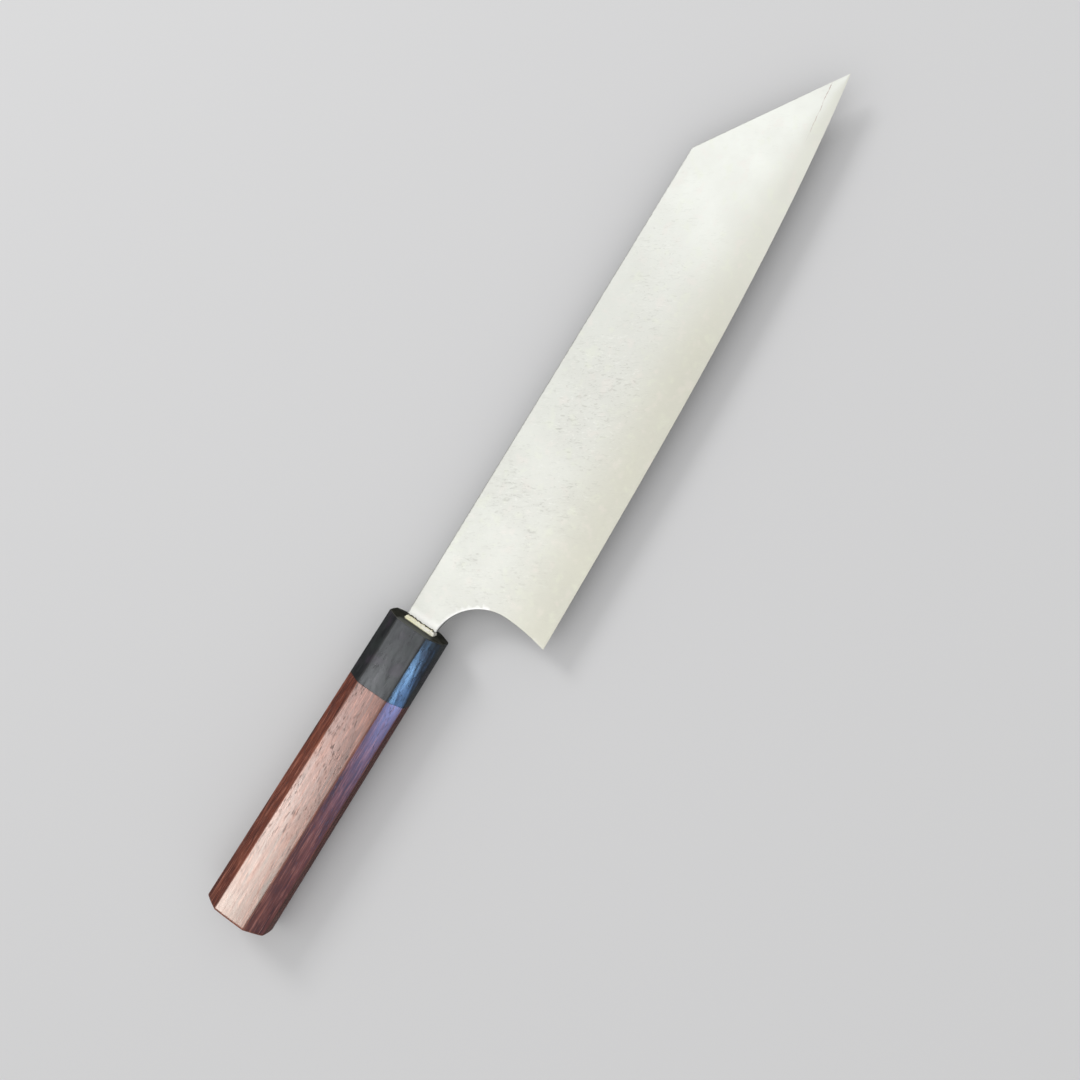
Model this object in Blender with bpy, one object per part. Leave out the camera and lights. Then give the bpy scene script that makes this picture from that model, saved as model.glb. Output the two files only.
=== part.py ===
"""Gyuto kitchen knife: a laminated blade with an angular tip and a hidden tang, in an octagonal wooden handle.

The knife lies on its side. X runs along it towards the tip, Y from the cutting edge towards the spine, and Z up,
out of the blade's right face. Inside the script the heel is at X = 0, the spine of the neck at Y = 0 and the
blade's middle plane at Z = 0. The empty called knife then moves all of it, so that the world origin is at the
middle of the underside of the knife's box. Units are metres.
"""

import math

import bmesh
import bpy
import mathutils

# Blade outline
EDGE_LENGTH = 0.2105  # heel to tip, along X
HEEL_HEIGHT = 0.0459  # from the heel up to the line of the neck's spine
EDGE_TILT = 0.0088  # rise of the edge from heel to tip, its curve left out
BELLY_RISE = 0.0080  # what the curve of the edge adds at the tip
BELLY_POWER = 3.4  # how late along the edge the curve begins
CLIP_LENGTH = 0.0453  # from the corner of the spine to the tip, along X
CORNER_RISE = 0.0019  # how much higher than the neck the spine's corner lies
CORNER_RADIUS = 0.0030
NECK_LENGTH = 0.0158  # from the heel back to the shoulders of the tang
NECK_HEIGHT = 0.0120
CHOIL_RADIUS = 0.0177  # the round notch between neck and heel

# Blade section
STOCK_THICKNESS = 0.0029  # at the neck and all along the tang
CORNER_THICKNESS = 0.0017  # at the spine's corner
CORE_THICKNESS = 0.0006
BARE_CORE_HEIGHT = 0.0042  # from the edge up to the fine line where the outer layers end
HONED_HEIGHT = 0.0007
HONED_THICKNESS = 0.00020
EDGE_THICKNESS = 0.00004
SPINE_CHAMFER = 0.0003

# Tang
TANG_LENGTH = 0.088  # behind the shoulders
TANG_END_HEIGHT = 0.0044
SHOULDER_STEP = 0.0013  # the tang is this much lower than the neck, above and below

# Seal round the tang, in front of the ferrule
SEAL_GAP = 0.0003  # open joint between the shoulders and the seal
SEAL_PROUD = 0.0013  # how far the seal stands out of the ferrule
SEAL_DEPTH = 0.0024  # how far it reaches into the ferrule
SEAL_WALL = 0.0006  # beside the tang
SEAL_CORNER_RADIUS = 0.0008

# Handle: the octagons that its tapered sides join
FERRULE_LENGTH = 0.0260
BODY_LENGTH = 0.0960
HANDLE_RISE = 0.0003  # how much higher than the middle of the neck the handle's axis lies
FRONT_HEIGHT = 0.0222  # along Y
FRONT_WIDTH = 0.0180  # along Z
FRONT_CORNER_CUT = 0.0051
BUTT_HEIGHT = 0.0248
BUTT_WIDTH = 0.0202
BUTT_CORNER_CUT = 0.0060
FERRULE_CHAMFER = 0.00025
BUTT_CHAMFER = 0.0010
FACET_EASE = 0.0003  # how far from each corner of the octagon its eased edge begins

# Inside the handle
TANG_PAST_DOWEL = 0.028  # the end of the tang that the dowel leaves to the grip
DOWEL_WALL = 0.0007  # wood left at the corners of the dowel's slot
DOWEL_CLEARANCE = 0.0002
BEDDING_WALL = 0.0006  # filler on each side of the tang
BEDDING_END = 0.0020  # filler behind the end of the tang
TANG_CLEARANCE = 0.0002  # above and below the tang, where filler and seal don't press on it

# How finely curves are divided
SPINE_STEPS = 12
CORNER_STEPS = 5
CLIP_STEPS = 8
EDGE_STEPS = 40
CHOIL_STEPS = 16
HEEL_STEPS = 6
SEAL_CORNER_STEPS = 4
DOWEL_SIDES = 48
SURFACE_COLUMNS = 18
SURFACE_ROWS = 5

CUT_OVERRUN = 0.001  # how far a cutter sticks out of what it cuts

# Values that follow from the ones above
CORE_HALF = CORE_THICKNESS / 2
STOCK_HALF = STOCK_THICKNESS / 2
TIP_Y = -HEEL_HEIGHT + EDGE_TILT + BELLY_RISE
CORNER_X = EDGE_LENGTH - CLIP_LENGTH
SHOULDER_X = -NECK_LENGTH
SEAL_FRONT_X = SHOULDER_X - SEAL_GAP
FERRULE_FRONT_X = SEAL_FRONT_X - SEAL_PROUD
SEAL_BACK_X = FERRULE_FRONT_X - SEAL_DEPTH
JOINT_X = FERRULE_FRONT_X - FERRULE_LENGTH
BUTT_X = JOINT_X - BODY_LENGTH
TANG_END_X = SHOULDER_X - TANG_LENGTH
DOWEL_BACK_X = TANG_END_X + TANG_PAST_DOWEL
BEDDING_BACK_X = TANG_END_X - BEDDING_END
TANG_Y = -NECK_HEIGHT / 2
AXIS_Y = TANG_Y + HANDLE_RISE
TANG_HALF_HEIGHT = NECK_HEIGHT / 2 - SHOULDER_STEP
SLOT_HALF_HEIGHT = TANG_HALF_HEIGHT + TANG_CLEARANCE + BEDDING_WALL
SLOT_HALF_WIDTH = STOCK_HALF + BEDDING_WALL
DOWEL_RADIUS = math.hypot(SLOT_HALF_HEIGHT + HANDLE_RISE, SLOT_HALF_WIDTH) + DOWEL_WALL
BORE_RADIUS = DOWEL_RADIUS + DOWEL_CLEARANCE


def clear_scene():
    for obj in list(bpy.data.objects):
        bpy.data.objects.remove(obj, do_unlink=True)


def make_material(name, color, roughness, metallic):
    material = bpy.data.materials.new(name)
    material.use_nodes = True
    shader = material.node_tree.nodes["Principled BSDF"]
    shader.inputs["Base Color"].default_value = (*color, 1.0)
    shader.inputs["Roughness"].default_value = roughness
    shader.inputs["Metallic"].default_value = metallic
    material.diffuse_color = (*color, 1.0)
    return material


def steel_material():
    return make_material("blasted_cladding_steel", (0.80, 0.79, 0.75), 0.50, 1.0)


def core_material():
    return make_material("core_steel", (0.72, 0.72, 0.68), 0.38, 1.0)


def seal_material():
    return make_material("cream_filler", (0.80, 0.76, 0.56), 0.55, 0.0)


def horn_material():
    return make_material("dark_horn", (0.030, 0.031, 0.032), 0.16, 0.0)


def rosewood_material():
    return make_material("rosewood", (0.155, 0.048, 0.034), 0.42, 0.0)


def dowel_material():
    return make_material("pale_dowel_wood", (0.62, 0.50, 0.33), 0.70, 0.0)


def bedding_material():
    return make_material("amber_bedding", (0.50, 0.38, 0.20), 0.30, 0.0)


def new_object(name, bm, material, parent):
    """An object from a bmesh, with its faces turned outward."""
    bm.normal_update()
    bmesh.ops.recalc_face_normals(bm, faces=bm.faces)
    mesh = bpy.data.meshes.new(name)
    bm.to_mesh(mesh)
    bm.free()
    mesh.materials.append(material)
    obj = bpy.data.objects.new(name, mesh)
    bpy.context.scene.collection.objects.link(obj)
    obj.parent = parent
    return obj


def cut(target, cutter):
    """Cuts one object with another, which then only guides."""
    cutter.hide_render = True
    cutter.display_type = "WIRE"
    modifier = target.modifiers.new("cut_" + cutter.name, "BOOLEAN")
    modifier.operation = "DIFFERENCE"
    modifier.object = cutter


def shade_by_angle(obj, degrees):
    obj.data.shade_smooth()
    obj.data.set_sharp_from_angle(angle=math.radians(degrees))


# Curves of the blade's outline


def smooth_step(value):
    """0 below 0, 1 above 1, and a soft S between."""
    value = min(max(value, 0.0), 1.0)
    return value * value * (3 - 2 * value)


def spine_y(x):
    return CORNER_RISE * (x - SHOULDER_X) / (CORNER_X - SHOULDER_X)


def clip_y(x):
    share = (x - CORNER_X) / CLIP_LENGTH
    return CORNER_RISE + (TIP_Y - CORNER_RISE) * share


def edge_y(x):
    share = min(max(x / EDGE_LENGTH, 0.0), 1.0)
    return -HEEL_HEIGHT + EDGE_TILT * share + BELLY_RISE * share**BELLY_POWER


def halve(low, high, is_below):
    """The value between low and high where is_below turns false."""
    for _ in range(50):
        middle = (low + high) / 2
        if is_below(middle):
            low = middle
        else:
            high = middle
    return (low + high) / 2


def spine_points():
    """From the neck's shoulder to where the rounded corner begins."""
    turn = math.atan2(CORNER_RISE - TIP_Y, CLIP_LENGTH) + math.atan(CORNER_RISE / (CORNER_X - SHOULDER_X))
    setback = CORNER_RADIUS * math.tan(turn / 2)
    end = CORNER_X - setback
    near_shoulder = SHOULDER_X + 2 * SPINE_CHAMFER
    xs = [SHOULDER_X] + [near_shoulder + (end - near_shoulder) * i / SPINE_STEPS for i in range(SPINE_STEPS + 1)]
    return [(x, spine_y(x)) for x in xs]


def corner_points(start):
    """The rounded corner of the spine, from the end of the spine points to the clip."""
    corner = mathutils.Vector((CORNER_X, CORNER_RISE))
    first = mathutils.Vector(start) - corner
    along_clip = mathutils.Vector((CLIP_LENGTH, TIP_Y - CORNER_RISE)).normalized()
    second = along_clip * first.length
    points = []
    for i in range(1, CORNER_STEPS + 1):
        t = i / CORNER_STEPS
        point = corner + first * (1 - t) ** 2 + second * t**2
        points.append((point.x, point.y))
    return points


def clip_points(start, end_x):
    """Along the clip, past its start and up to end_x."""
    xs = [start[0] + (end_x - start[0]) * i / CLIP_STEPS for i in range(1, CLIP_STEPS + 1)]
    return [(x, clip_y(x)) for x in xs]


def choil_points():
    """From the heel up the back of the blade and round the notch to the neck."""
    radius = min(CHOIL_RADIUS, 0.8 * (HEEL_HEIGHT - NECK_HEIGHT))
    center_y = -NECK_HEIGHT - radius
    deepest = (SHOULDER_X + radius, center_y)
    middle_y = (center_y - HEEL_HEIGHT) / 2
    points = []
    for i in range(HEEL_STEPS):
        t = i / HEEL_STEPS
        x = 2 * t * (1 - t) * deepest[0] + t * t * deepest[0]
        y = (1 - t) ** 2 * -HEEL_HEIGHT + 2 * t * (1 - t) * middle_y + t * t * center_y
        points.append((x, y))
    for i in range(CHOIL_STEPS + 1):
        angle = math.pi / 2 * i / CHOIL_STEPS
        points.append((SHOULDER_X + radius * math.cos(angle), center_y + radius * math.sin(angle)))
    return points


def bare_line_ends():
    """X of the two ends of the fine line: on the heel side and on the clip."""
    heel_side = choil_points()

    def choil_x(y):
        for (x0, y0), (x1, y1) in zip(heel_side, heel_side[1:]):
            if y0 <= y <= y1:
                return x0 + (x1 - x0) * (y - y0) / (y1 - y0)
        return heel_side[-1][0]

    back_x = choil_x(edge_y(0) + BARE_CORE_HEIGHT)
    back_x = choil_x(edge_y(back_x) + BARE_CORE_HEIGHT)
    front_x = halve(CORNER_X, EDGE_LENGTH, lambda x: edge_y(x) + BARE_CORE_HEIGHT < clip_y(x))
    return back_x, front_x


def bare_line_points():
    """The fine line, from the heel side to the clip."""
    back_x, front_x = bare_line_ends()
    xs = [back_x + (front_x - back_x) * i / EDGE_STEPS for i in range(EDGE_STEPS + 1)]
    points = [(x, edge_y(x) + BARE_CORE_HEIGHT) for x in xs]
    points[-1] = (front_x, clip_y(front_x))
    return points


def tang_half_height(x):
    share = (SHOULDER_X - x) / TANG_LENGTH
    return TANG_HALF_HEIGHT + (TANG_END_HEIGHT / 2 - TANG_HALF_HEIGHT) * share


def layer_outline():
    """The outline of an outer layer: tang, neck, spine, clip, fine line and choil, clockwise seen from +Z.

    Each point is (x, y, kind). The kind is free, where the rim shows and is chamfered, line, on the fine line
    where the layer thins to nothing, or hidden, at the shoulders and on the tang.
    """
    spine = spine_points()
    corner = corner_points(spine[-1])
    line = bare_line_points()
    clip = clip_points(corner[-1], line[-1][0])[:-1]
    choil = [point for point in choil_points() if point[1] > line[0][1]]
    upper = TANG_Y + TANG_HALF_HEIGHT
    lower = TANG_Y - TANG_HALF_HEIGHT
    end_half = TANG_END_HEIGHT / 2
    outline = [(TANG_END_X, TANG_Y + end_half, "hidden"), (SHOULDER_X, upper, "hidden")]
    outline.append((*spine[0], "hidden"))
    outline += [(x, y, "free") for x, y in spine[1:] + corner + clip]
    outline += [(x, y, "line") for x, y in reversed(line)]
    outline += [(x, y, "free") for x, y in choil[:-1]]
    outline.append((*choil[-1], "hidden"))
    outline += [(SHOULDER_X, lower, "hidden"), (TANG_END_X, TANG_Y - end_half, "hidden")]
    return outline


def outer_half_thickness(x, y):
    """Half the blade's thickness at a point: thinner towards the edge and towards the tip."""
    if x <= SHOULDER_X:
        return STOCK_HALF
    foot = edge_y(x) + BARE_CORE_HEIGHT
    along = (x - SHOULDER_X) / (CORNER_X - SHOULDER_X)
    spine_half = STOCK_HALF + (CORNER_THICKNESS / 2 - STOCK_HALF) * along
    spine_half = max(spine_half, CORE_HALF)
    up = max((y - foot) / (spine_y(x) - foot), 0.0)
    ground = CORE_HALF + (spine_half - CORE_HALF) * up
    neck = smooth_step(x / SHOULDER_X)
    return ground + (STOCK_HALF - ground) * neck


def inward_normals(outline):
    """Unit vectors into a clockwise outline, one for each point."""
    normals = []
    count = len(outline)
    for i in range(count):
        before = mathutils.Vector(outline[i - 1][:2])
        after = mathutils.Vector(outline[(i + 1) % count][:2])
        along = (after - before).normalized()
        normals.append(mathutils.Vector((along.y, -along.x)))
    return normals


def surface_grid(outline):
    """Points inside the blade's face that carry its curve between the rims."""
    points = []
    for column in range(1, SURFACE_COLUMNS):
        x = SHOULDER_X + (EDGE_LENGTH - SHOULDER_X) * column / SURFACE_COLUMNS
        ys = []
        for (x0, y0, _), (x1, y1, _) in zip(outline, outline[1:]):
            if (x0 - x) * (x1 - x) < 0:
                ys.append(y0 + (y1 - y0) * (x - x0) / (x1 - x0))
        if len(ys) != 2:
            continue
        low, high = sorted(ys)
        if high - low < 8 * SPINE_CHAMFER:
            continue
        points += [(x, low + (high - low) * row / SURFACE_ROWS) for row in range(1, SURFACE_ROWS)]
    return points


def make_cladding(name, side, material, parent):
    """An outer layer of the blade. side is 1 for the right face, up, and -1 for the left."""
    outline = layer_outline()
    normals = inward_normals(outline)
    bm = bmesh.new()
    inner_loop = []
    rim_loop = []
    face_loop = []
    for (x, y, kind), normal in zip(outline, normals):
        outer = CORE_HALF if kind == "line" else outer_half_thickness(x, y)
        chamfer = min(SPINE_CHAMFER, 0.45 * (outer - CORE_HALF)) if kind == "free" else 0.0
        face_x = x + chamfer * normal.x
        face_y = y + chamfer * normal.y
        face_half = outer if chamfer == 0 else outer_half_thickness(face_x, face_y)
        inner_loop.append(bm.verts.new((x, y, side * CORE_HALF)))
        rim_loop.append(bm.verts.new((x, y, side * (outer - chamfer))))
        face_loop.append((face_x, face_y, side * face_half))
    grid = surface_grid(outline)
    flat = [mathutils.Vector(point[:2]) for point in face_loop] + [mathutils.Vector(point) for point in grid]
    border = [list(range(len(face_loop)))]
    placed, _, triangles, _, _, _ = mathutils.geometry.delaunay_2d_cdt(flat, [], border, 1, 1e-9)
    face_verts = []
    for i, point in enumerate(placed):
        if i < len(face_loop):
            height = face_loop[i][2]
        else:
            height = side * outer_half_thickness(point.x, point.y)
        face_verts.append(bm.verts.new((point.x, point.y, height)))
    for triangle in triangles:
        bm.faces.new([face_verts[i] for i in triangle])
    bm.faces.new(inner_loop)
    count = len(outline)
    for i in range(count):
        j = (i + 1) % count
        bm.faces.new([inner_loop[i], inner_loop[j], rim_loop[j], rim_loop[i]])
        bm.faces.new([rim_loop[i], rim_loop[j], face_verts[j], face_verts[i]])
    bmesh.ops.remove_doubles(bm, verts=bm.verts, dist=1e-7)
    obj = new_object(name, bm, material, parent)
    shade_by_angle(obj, 20)
    return obj


def make_core(material, parent):
    """The middle layer: flat under the outer layers, tapered to the edge below the fine line, and on as tang."""
    outline = layer_outline()
    line = bare_line_points()
    edge = [(EDGE_LENGTH * i / EDGE_STEPS, edge_y(EDGE_LENGTH * i / EDGE_STEPS)) for i in range(EDGE_STEPS + 1)]
    honed_share = HONED_HEIGHT / BARE_CORE_HEIGHT
    bm = bmesh.new()
    faces = {}
    for side in (1, -1):
        loop = [bm.verts.new((x, y, side * CORE_HALF)) for x, y, _ in outline]
        first = next(i for i, point in enumerate(outline) if point[2] == "line")
        line_verts = loop[first : first + len(line)][::-1]
        honed_verts = []
        edge_verts = []
        for (line_x, line_y), (x, y) in zip(line, edge):
            honed_x = x + (line_x - x) * honed_share
            honed_y = y + (line_y - y) * honed_share
            honed_verts.append(bm.verts.new((honed_x, honed_y, side * HONED_THICKNESS / 2)))
            edge_verts.append(bm.verts.new((x, y, side * EDGE_THICKNESS / 2)))
        bm.faces.new(loop)
        for upper, lower in ((line_verts, honed_verts), (honed_verts, edge_verts)):
            for i in range(EDGE_STEPS):
                bm.faces.new([upper[i], upper[i + 1], lower[i + 1], lower[i]])
        faces[side] = (loop, line_verts, honed_verts, edge_verts, first)
    loop, line_verts, honed_verts, edge_verts, first = faces[1]
    under_loop, under_line, under_honed, under_edge, _ = faces[-1]
    count = len(outline)
    for i in range(count):
        j = (i + 1) % count
        if not first <= i < first + len(line) - 1:
            bm.faces.new([loop[i], loop[j], under_loop[j], under_loop[i]])
    for i in range(EDGE_STEPS):
        bm.faces.new([edge_verts[i], edge_verts[i + 1], under_edge[i + 1], under_edge[i]])
    for end in (0, -1):
        bm.faces.new(
            [line_verts[end], honed_verts[end], edge_verts[end], under_edge[end], under_honed[end], under_line[end]]
        )
    obj = new_object("blade_core", bm, material, parent)
    shade_by_angle(obj, 3)
    return obj


# Handle


def octagon(height, width, corner_cut, inset):
    """A rectangle with cut corners as (y, z) from its middle, every side moved in by inset, its edges eased."""
    half_y = height / 2 - inset
    half_z = width / 2 - inset
    corner = corner_cut - inset * (2 - math.sqrt(2))
    inner_y = half_y - corner
    inner_z = half_z - corner
    corners = [
        (half_y, inner_z),
        (inner_y, half_z),
        (-inner_y, half_z),
        (-half_y, inner_z),
        (-half_y, -inner_z),
        (-inner_y, -half_z),
        (inner_y, -half_z),
        (half_y, -inner_z),
    ]
    points = []
    for i, corner_point in enumerate(corners):
        here = mathutils.Vector(corner_point)
        for other in (corners[i - 1], corners[(i + 1) % 8]):
            along = (mathutils.Vector(other) - here).normalized()
            points.append(tuple(here + along * FACET_EASE))
    return points


def handle_section(x, inset):
    """The handle's octagon at x. The taper runs from the ferrule's front rim to the butt's rim."""
    front = FERRULE_FRONT_X - FERRULE_CHAMFER
    back = BUTT_X + BUTT_CHAMFER
    share = (front - x) / (front - back)
    share = min(max(share, 0.0), 1.0)
    height = FRONT_HEIGHT + (BUTT_HEIGHT - FRONT_HEIGHT) * share
    width = FRONT_WIDTH + (BUTT_WIDTH - FRONT_WIDTH) * share
    corner_cut = FRONT_CORNER_CUT + (BUTT_CORNER_CUT - FRONT_CORNER_CUT) * share
    return [(x, AXIS_Y + y, z) for y, z in octagon(height, width, corner_cut, inset)]


def loft(name, sections, material, parent):
    """A closed solid through sections that all have as many points."""
    bm = bmesh.new()
    loops = [[bm.verts.new(point) for point in section] for section in sections]
    for one, two in zip(loops, loops[1:]):
        for i in range(len(one)):
            j = (i + 1) % len(one)
            bm.faces.new([one[i], one[j], two[j], two[i]])
    bm.faces.new(loops[0])
    bm.faces.new(loops[-1])
    return new_object(name, bm, material, parent)


def box(name, low, high, material, parent):
    """A box between two corners."""
    sections = []
    for x in (low[0], high[0]):
        sections.append([(x, low[1], low[2]), (x, high[1], low[2]), (x, high[1], high[2]), (x, low[1], high[2])])
    return loft(name, sections, material, parent)


def round_bar(name, radius, back_x, front_x, material, parent):
    """A cylinder along the handle's axis."""
    bm = bmesh.new()
    length = front_x - back_x
    bmesh.ops.create_cone(
        bm, cap_ends=True, segments=DOWEL_SIDES, radius1=radius, radius2=radius, depth=length
    )
    turn = mathutils.Matrix.Rotation(math.pi / 2, 4, "Y")
    place = mathutils.Matrix.Translation(((back_x + front_x) / 2, AXIS_Y, 0))
    bm.transform(place @ turn)
    obj = new_object(name, bm, material, parent)
    shade_by_angle(obj, 30)
    return obj


def tang_hole(name, front_x, back_x, material, parent):
    """A cutter round the tang from front_x to back_x, tapered like it, as thick as the stock."""
    sections = []
    for x in (front_x, back_x):
        half = tang_half_height(x) + TANG_CLEARANCE
        sections.append(
            [
                (x, TANG_Y - half, -STOCK_HALF),
                (x, TANG_Y + half, -STOCK_HALF),
                (x, TANG_Y + half, STOCK_HALF),
                (x, TANG_Y - half, STOCK_HALF),
            ]
        )
    return loft(name, sections, material, parent)


def make_seal(material, parent):
    """The filler in the ferrule's slot, as high as the neck, with the tang through it."""
    half_width = STOCK_HALF + SEAL_WALL
    radius = min(SEAL_CORNER_RADIUS, SEAL_PROUD, NECK_HEIGHT / 3)
    outline = [(SEAL_BACK_X, 0), (SEAL_BACK_X, -NECK_HEIGHT)]
    for center_y, first_angle in ((radius - NECK_HEIGHT, -math.pi / 2), (-radius, 0)):
        for i in range(SEAL_CORNER_STEPS + 1):
            angle = first_angle + math.pi / 2 * i / SEAL_CORNER_STEPS
            x = SEAL_FRONT_X - radius + radius * math.cos(angle)
            outline.append((x, center_y + radius * math.sin(angle)))
    sections = [[(x, y, z) for x, y in outline] for z in (-half_width, half_width)]
    seal = loft("tang_seal", sections, material, parent)
    hole = tang_hole("seal_hole", SEAL_FRONT_X + CUT_OVERRUN, SEAL_BACK_X - CUT_OVERRUN, material, parent)
    cut(seal, hole)


def make_ferrule(material, parent):
    """The horn collar: slot in front for the seal, bore behind for the dowel."""
    sections = [
        handle_section(FERRULE_FRONT_X, FERRULE_CHAMFER),
        handle_section(FERRULE_FRONT_X - FERRULE_CHAMFER, 0),
        handle_section(JOINT_X, 0),
    ]
    ferrule = loft("ferrule", sections, material, parent)
    half_width = STOCK_HALF + SEAL_WALL
    slot = box(
        "ferrule_slot",
        (SEAL_BACK_X, -NECK_HEIGHT, -half_width),
        (FERRULE_FRONT_X + CUT_OVERRUN, 0, half_width),
        material,
        parent,
    )
    bore = round_bar("ferrule_bore", BORE_RADIUS, JOINT_X - CUT_OVERRUN, SEAL_BACK_X, material, parent)
    cut(ferrule, slot)
    cut(ferrule, bore)


def make_dowel(material, parent):
    """The dowel between ferrule and grip, slotted for the bedded tang."""
    dowel = round_bar("handle_dowel", DOWEL_RADIUS, DOWEL_BACK_X, SEAL_BACK_X, material, parent)
    slot = box(
        "dowel_slot",
        (DOWEL_BACK_X - CUT_OVERRUN, TANG_Y - SLOT_HALF_HEIGHT, -SLOT_HALF_WIDTH),
        (SEAL_BACK_X + CUT_OVERRUN, TANG_Y + SLOT_HALF_HEIGHT, SLOT_HALF_WIDTH),
        material,
        parent,
    )
    cut(dowel, slot)


def make_bedding(material, parent):
    """The filler round the tang, in the dowel's slot and behind it in the grip's."""
    bedding = box(
        "tang_bedding",
        (BEDDING_BACK_X, TANG_Y - SLOT_HALF_HEIGHT, -SLOT_HALF_WIDTH),
        (SEAL_BACK_X, TANG_Y + SLOT_HALF_HEIGHT, SLOT_HALF_WIDTH),
        material,
        parent,
    )
    hole = tang_hole("bedding_hole", SEAL_BACK_X + CUT_OVERRUN, TANG_END_X, material, parent)
    cut(bedding, hole)


def make_body(material, parent):
    """The wooden grip: bored for the dowel, with a slot behind the bore for the end of the bedded tang."""
    sections = [
        handle_section(JOINT_X, 0),
        handle_section(BUTT_X + BUTT_CHAMFER, 0),
        handle_section(BUTT_X, BUTT_CHAMFER),
    ]
    body = loft("handle_body", sections, material, parent)
    bore = round_bar("body_bore", BORE_RADIUS, DOWEL_BACK_X, JOINT_X + CUT_OVERRUN, material, parent)
    slot = box(
        "body_slot",
        (BEDDING_BACK_X, TANG_Y - SLOT_HALF_HEIGHT, -SLOT_HALF_WIDTH),
        (DOWEL_BACK_X + CUT_OVERRUN, TANG_Y + SLOT_HALF_HEIGHT, SLOT_HALF_WIDTH),
        material,
        parent,
    )
    cut(body, bore)
    cut(body, slot)


def make_root():
    """The empty that carries the knife, placed so that the world origin is under the middle of its box."""
    root = bpy.data.objects.new("knife", None)
    bpy.context.scene.collection.objects.link(root)
    highest_y = max(CORNER_RISE, AXIS_Y + BUTT_HEIGHT / 2)
    middle_x = (EDGE_LENGTH + BUTT_X) / 2
    middle_y = (highest_y - HEEL_HEIGHT) / 2
    root.location = (-middle_x, -middle_y, BUTT_WIDTH / 2)
    return root


def main():
    clear_scene()
    root = make_root()
    steel = steel_material()
    make_core(core_material(), root)
    make_cladding("blade_cladding_right", 1, steel, root)
    make_cladding("blade_cladding_left", -1, steel, root)
    make_seal(seal_material(), root)
    make_ferrule(horn_material(), root)
    make_dowel(dowel_material(), root)
    make_bedding(bedding_material(), root)
    make_body(rosewood_material(), root)


main()
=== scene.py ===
"""Gyuto knife: finer surfaces, procedural materials, floor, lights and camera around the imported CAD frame.

The shapes are worked out as in the CAD source, with the heel at X = 0, the spine of the neck at Y = 0 and
the blade's middle plane at Z = 0. PLACE then moves each finished piece into the CAD frame. Units are metres.
"""

import math

import bmesh
import bpy
from mathutils import Matrix, Vector, geometry, noise


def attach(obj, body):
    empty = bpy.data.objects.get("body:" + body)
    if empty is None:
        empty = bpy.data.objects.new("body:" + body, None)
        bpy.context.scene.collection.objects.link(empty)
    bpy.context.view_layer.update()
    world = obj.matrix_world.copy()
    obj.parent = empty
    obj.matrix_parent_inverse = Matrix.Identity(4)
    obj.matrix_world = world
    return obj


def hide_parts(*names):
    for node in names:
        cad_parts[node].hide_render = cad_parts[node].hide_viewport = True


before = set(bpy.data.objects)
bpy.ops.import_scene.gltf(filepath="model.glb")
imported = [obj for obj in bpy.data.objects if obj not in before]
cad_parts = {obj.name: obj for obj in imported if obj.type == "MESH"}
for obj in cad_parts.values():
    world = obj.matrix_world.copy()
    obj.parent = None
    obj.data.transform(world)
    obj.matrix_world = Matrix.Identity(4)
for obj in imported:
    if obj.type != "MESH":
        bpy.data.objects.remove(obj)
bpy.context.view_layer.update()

# Sizes of the CAD model
EDGE_LENGTH = 0.2105
HEEL_HEIGHT = 0.0459
EDGE_TILT = 0.0088
BELLY_RISE = 0.0080
BELLY_POWER = 3.4
CLIP_LENGTH = 0.0453
CORNER_RISE = 0.0019
CORNER_RADIUS = 0.0030
NECK_LENGTH = 0.0158
NECK_HEIGHT = 0.0120
CHOIL_RADIUS = 0.0177
STOCK_THICKNESS = 0.0029
CORNER_THICKNESS = 0.0017
CORE_THICKNESS = 0.0006
BARE_CORE_HEIGHT = 0.0042
HONED_HEIGHT = 0.0007
HONED_THICKNESS = 0.00020
EDGE_THICKNESS = 0.00004
SPINE_CHAMFER = 0.0003
TANG_LENGTH = 0.088
TANG_END_HEIGHT = 0.0044
SHOULDER_STEP = 0.0013
SEAL_GAP = 0.0003
SEAL_PROUD = 0.0013
SEAL_DEPTH = 0.0024
SEAL_WALL = 0.0006
SEAL_CORNER_RADIUS = 0.0008
FERRULE_LENGTH = 0.0260
BODY_LENGTH = 0.0960
HANDLE_RISE = 0.0003
FRONT_HEIGHT = 0.0222
FRONT_WIDTH = 0.0180
FRONT_CORNER_CUT = 0.0051
BUTT_HEIGHT = 0.0248
BUTT_WIDTH = 0.0202
BUTT_CORNER_CUT = 0.0060
FERRULE_CHAMFER = 0.00025
BUTT_CHAMFER = 0.0010
TANG_PAST_DOWEL = 0.028
DOWEL_WALL = 0.0007
DOWEL_CLEARANCE = 0.0002
BEDDING_WALL = 0.0006
BEDDING_END = 0.0020
TANG_CLEARANCE = 0.0002
CUT_OVERRUN = 0.001

# Details that only the visual model has
FACET_ROUND = 0.00042  # how far from each corner of the octagon its rounding begins
FACET_CROWN = 0.00012  # how much higher a facet is in its middle than at its edges
ROUND_FADE = 0.004  # how far inside the handle's surface the rounding of its corners would end
GRIND_FADE = 0.006  # how far above the fine line the faces still curve towards the bare edge
SLOPE_SPAN = 0.001  # the height above that line over which the slope of a face is taken
SPINE_ROOM = 0.004  # how far below the spine that curve begins to fade out
JOINT_EASE = 0.00005  # the hairline between ferrule and grip
CHOIL_ROUND = 0.00055  # rounding of the heel's back edge and of the notch
ROUND_SHARE = 0.45  # the most that a rounding takes of an outer layer's thickness
POLISH_REACH = 0.0008  # how far from the outline of heel and notch their polished rim ends, which the steel lights with a painted highlight
POLISH_FADE = 0.0005  # the width over which it fades out
POLISH_END_X = 0.001  # the rim lies between the shoulder and here
SEAL_ROUND = 0.00045  # rounding of the seal's long front edges
SEAL_UNEVEN = 0.00012  # depth of the unevenness of the seal's front
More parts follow.
